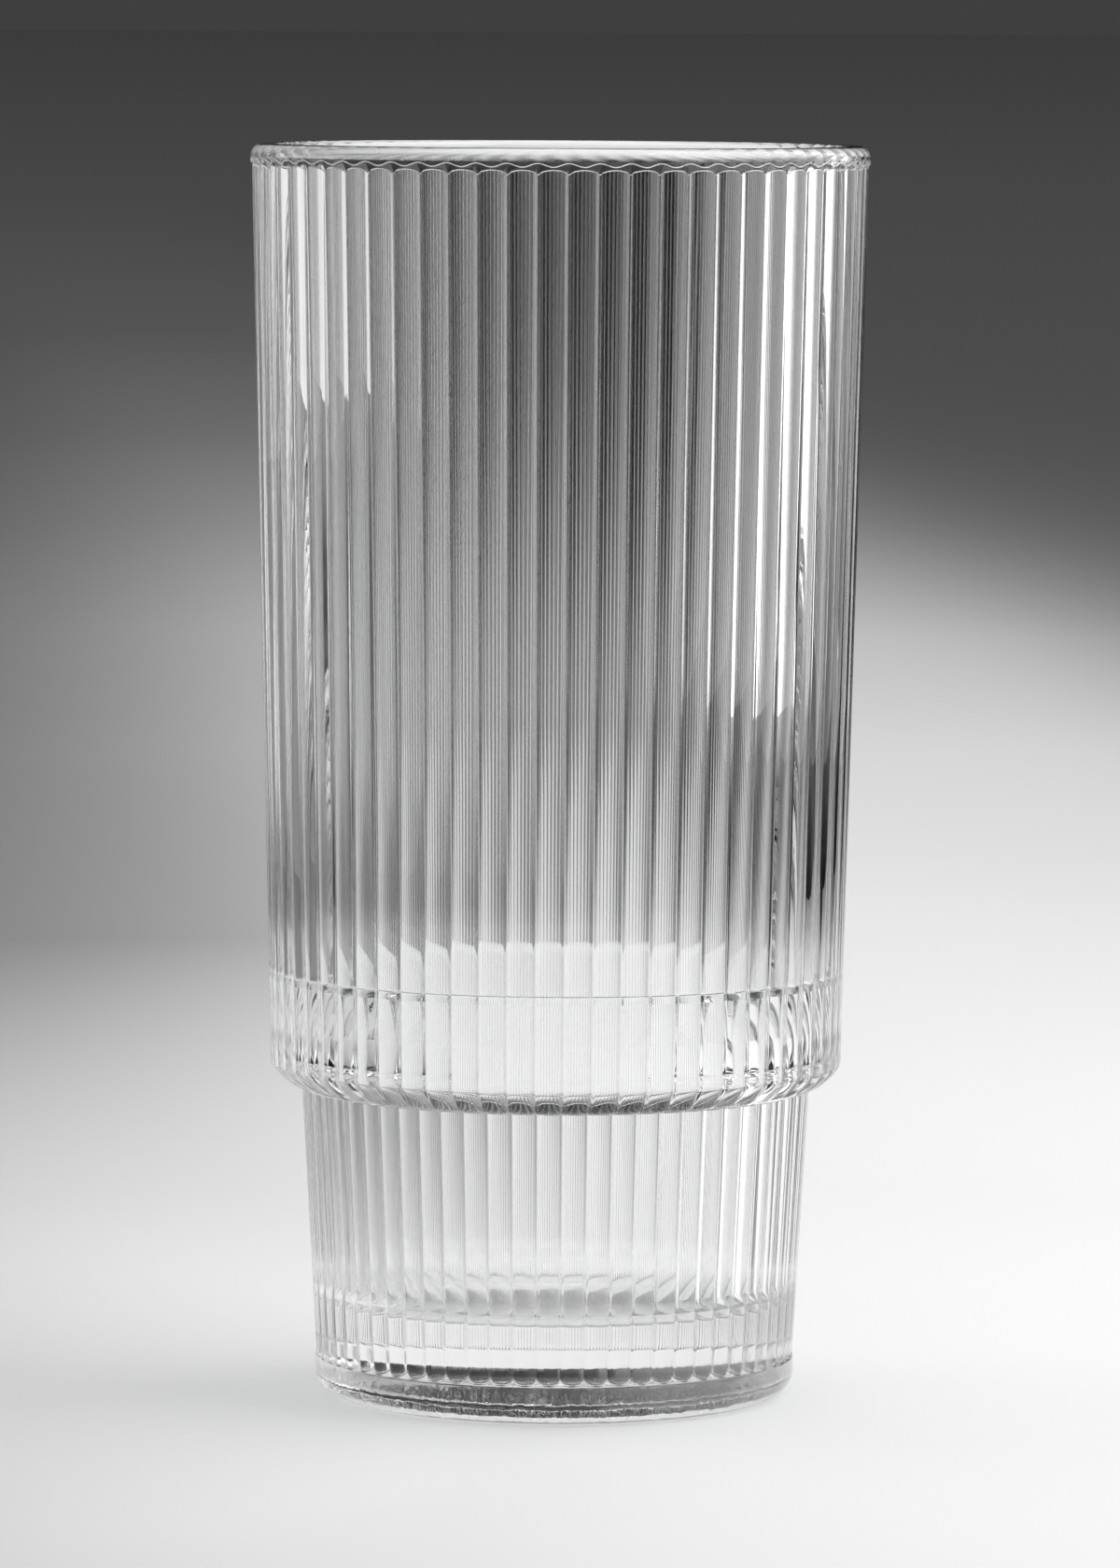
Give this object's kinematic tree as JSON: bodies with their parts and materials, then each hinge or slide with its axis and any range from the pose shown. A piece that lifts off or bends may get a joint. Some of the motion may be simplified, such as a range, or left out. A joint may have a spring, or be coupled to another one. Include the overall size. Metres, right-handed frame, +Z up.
{
  "type": "highball glass",
  "caption": "Tall stacking drinking glass in clear pressed glass: reeded walls that taper down to a stepped shoulder, a smooth collar under the lip and a thick base.",
  "frame": {"origin": "centre of the ring that the glass stands on, in the plane of the table", "axes": "+Z up along the axis of the glass; a valley between two reeds lies on +X and on -Y"},
  "size_m": [0.068, 0.068, 0.138],
  "materials": {
    "clear_glass": "clear pressed glass, fire polished, with a stippled underside"
  },
  "bodies": {
    "root": {"tumbler": "clear_glass"}
  },
  "joints": []
}
